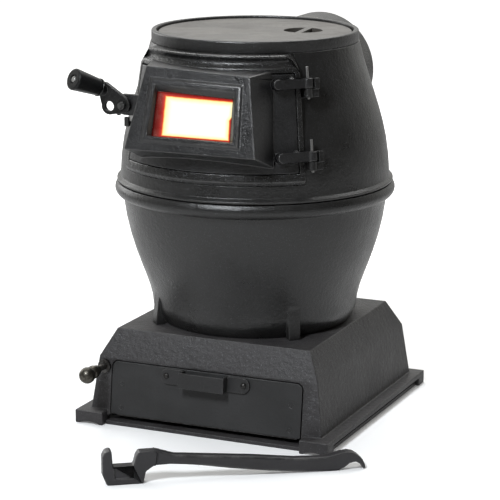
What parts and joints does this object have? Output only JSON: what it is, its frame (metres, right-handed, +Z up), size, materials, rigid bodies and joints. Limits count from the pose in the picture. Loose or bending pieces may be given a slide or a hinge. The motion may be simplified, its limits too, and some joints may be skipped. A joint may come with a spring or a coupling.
{
  "type": "potbelly stove",
  "caption": "Cast-iron potbelly stove on a square ash base, with a windowed fuel door, side latch, lift-off lid, rear flue collar, shaking grate, ash drawer and a loose lifter.",
  "frame": {"origin": "middle of the base's underside, on the floor under the pot's axis", "axes": "+Z up along the pot axis, the fuel door and ash drawer face -Y, the flue collar points to +Y"},
  "size_m": [0.4013, 0.5865, 0.4825],
  "materials": {
    "base_iron": "matte",
    "pot_iron": "matte",
    "door_iron": "matte",
    "collar_iron": "matte",
    "lid_iron": "matte",
    "front_iron": "matte",
    "lifter_iron": "matte",
    "lever_iron": "matte",
    "grate_iron": "rough",
    "fastener": "darkened",
    "pin_steel": "satin",
    "latch_steel": "darkened",
    "rod_steel": "satin",
    "bushing": "darkened",
    "knob": "satin",
    "pan_steel": "matte",
    "pull_steel": "satin",
    "retainer": "matte",
    "rope": "woven",
    "glow_glass": "clear",
    "grip": "gloss"
  },
  "bodies": {
    "stove": {"base_casting": "base_iron", "floor_plate": "base_iron", "plate_screws": "fastener", "rod_bushing": "bushing", "fire_pot": "pot_iron", "pot_bolts": "fastener", "belly_seal": "rope", "upper_body": "pot_iron", "door_frame": "pot_iron", "top_ring": "pot_iron", "flue_neck": "pot_iron", "latch_keeper": "pot_iron", "hinge_pins": "pin_steel", "flue_collar": "collar_iron", "collar_gasket": "rope", "collar_bolts": "fastener"},
    "grate_set": {"grate": "grate_iron", "crank_arm": "grate_iron", "crank_bolt": "fastener"},
    "rod_set": {"shaker_rod": "rod_steel", "rod_knob": "knob"},
    "drawer": {"ash_pan": "pan_steel", "drawer_front": "front_iron", "front_rivets": "front_iron", "drawer_pull": "pull_steel", "pull_rivets": "pin_steel"},
    "door_set": {"door": "door_iron", "door_gasket": "rope", "window_glass": "glow_glass", "glass_gasket": "rope", "glass_retainer": "retainer", "retainer_screws": "fastener"},
    "latch": {"latch_lever": "lever_iron", "latch_bolt": "latch_steel", "latch_cam": "latch_steel", "latch_nut": "latch_steel", "grip_ferrule": "latch_steel", "hand_grip": "grip", "grip_bolt": "latch_steel"},
    "lid_set": {"lid": "lid_iron"},
    "lifter_set": {"lifter": "lifter_iron"}
  },
  "joints": [
    {"name": "door_swing", "type": "hinge", "parent": "stove", "child": "door_set", "pos_m": [0.12035, -0.11223, 0.39], "axis": [-0.1163, 0.1084, 0.9873], "range_deg": [0, 100]},
    {"name": "latch_turn", "type": "hinge", "parent": "door_set", "child": "latch", "pos_m": [-0.11799, -0.1225, 0.3975], "axis": [0, -1, 0], "range_deg": [-25, 45]},
    {"name": "grate_turn", "type": "hinge", "parent": "stove", "child": "grate_set", "pos_m": [0, 0, 0.13], "axis": [0, 0, 1], "range_deg": [-6.2, 10.4]},
    {"name": "rod_pull", "type": "slide", "parent": "stove", "child": "rod_set", "axis": [0, -1, 0], "range_m": [-0.015, 0.0255]},
    {"name": "drawer_slide", "type": "slide", "parent": "stove", "child": "drawer", "axis": [0, -1, 0], "range_m": [0, 0.08]},
    {"name": "lid_lift", "type": "slide", "parent": "stove", "child": "lid_set", "axis": [0, 0, 1], "range_m": [0, 0.2]},
    {"name": "lifter_lift", "type": "slide", "parent": "stove", "child": "lifter_set", "axis": [0, 0, 1], "range_m": [0, 0.2]}
  ],
  "couplings": [
    {"joint": "rod_pull", "follows": "grate_turn", "m_per_rad": 0.138}
  ]
}
